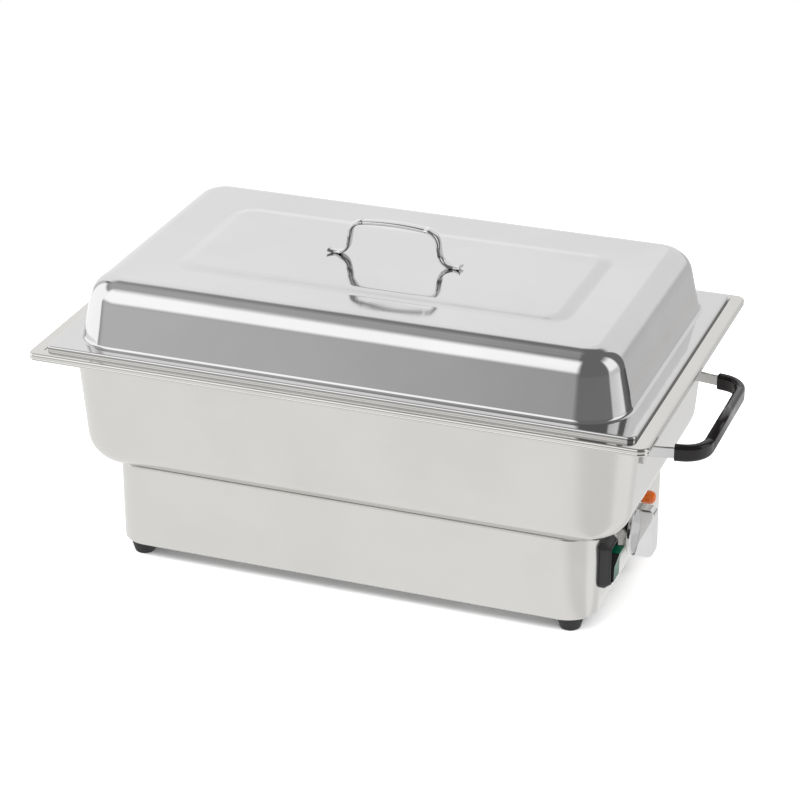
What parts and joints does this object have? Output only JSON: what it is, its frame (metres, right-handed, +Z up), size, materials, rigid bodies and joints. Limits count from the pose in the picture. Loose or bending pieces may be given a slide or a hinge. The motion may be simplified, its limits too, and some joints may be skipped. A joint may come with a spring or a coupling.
{
  "type": "electric chafing dish",
  "caption": "Electric chafing dish: steel base on rubber feet, deep water pan with black end handles, insert pan, lift-off domed lid, thermostat knob, green rocker switch and orange lamp.",
  "frame": {"origin": "on the table under the middle of the dish's plan, at the level of the feet's undersides", "axes": "+X along the dish's length towards the end with the knob, switch and lamp; +Y towards the rear; +Z up"},
  "size_m": [0.6516, 0.359, 0.3254],
  "materials": {
    "satin_steel": "satin brushed stainless sheet, warm light grey",
    "polished_steel": "fine-ground stainless sheet, near mirror on the bends",
    "chrome": "bright plated, mirror-like",
    "zinc_steel": "plain zinc-plated steel, dull grey",
    "heater_sheath": "dark oxidised heater sheath",
    "copper": "plain drawn copper",
    "brass": "plain turned brass",
    "foot_rubber": "matt black moulded rubber",
    "grip_plastic": "glossy black heat-resistant plastic",
    "switch_plastic": "black moulded plastic, half gloss",
    "dark_plastic": "matt black moulded plastic",
    "pale_plastic": "matt ivory terminal plastic",
    "green_lens": "translucent dark green plastic, glossy",
    "orange_lens": "translucent orange plastic, faceted and glossy"
  },
  "bodies": {
    "root": {"base_housing": "satin_steel", "bottom_plate": "zinc_steel", "plate_screws": "zinc_steel", "foot_front_left": "foot_rubber", "foot_front_right": "foot_rubber", "foot_rear_left": "foot_rubber", "foot_rear_right": "foot_rubber", "foot_screws": "zinc_steel", "foot_nuts": "zinc_steel", "water_pan": "satin_steel", "housing_studs": "zinc_steel", "housing_nuts": "zinc_steel", "heater_studs": "zinc_steel", "heating_element": "heater_sheath", "clamp_bars": "zinc_steel", "clamp_nuts": "zinc_steel", "shield_spacers": "zinc_steel", "heat_shield": "zinc_steel", "shield_nuts": "zinc_steel", "thermostat_body": "dark_plastic", "thermostat_screws": "zinc_steel", "sensor_bulb": "copper", "capillary_tube": "copper", "switch_frame": "switch_plastic", "lamp_lens": "orange_lens", "lamp_body": "zinc_steel", "lamp_nut": "zinc_steel", "overheat_cutout": "dark_plastic", "cable_gland": "dark_plastic", "gland_nut": "dark_plastic", "terminal_block": "pale_plastic", "terminal_screws": "brass", "earth_stud": "brass", "right_handle_strip": "polished_steel", "right_handle_grip": "grip_plastic", "left_handle_strip": "polished_steel", "left_handle_grip": "grip_plastic"},
    "insert": {"food_pan": "satin_steel"},
    "lid": {"lid_shell": "polished_steel", "lid_handle": "chrome"},
    "knob": {"control_knob": "chrome", "thermostat_shaft": "zinc_steel"},
    "rocker": {"switch_rocker": "green_lens"}
  },
  "joints": [
    {"name": "pan_lift", "type": "slide", "parent": "root", "child": "insert", "axis": [0, 0, 1], "range_m": [0, 0.1]},
    {"name": "lid_lift", "type": "slide", "parent": "insert", "child": "lid", "axis": [0, 0, 1], "range_m": [0, 0.12]},
    {"name": "knob_turn", "type": "hinge", "parent": "root", "child": "knob", "pos_m": [0.241, -0.005, 0.051], "axis": [-1, 0, 0], "range_deg": [0, 270]},
    {"name": "rocker_tilt", "type": "hinge", "parent": "root", "child": "rocker", "pos_m": [0.2435, -0.09, 0.06], "axis": [0, -1, 0], "range_deg": [0, 18]}
  ]
}
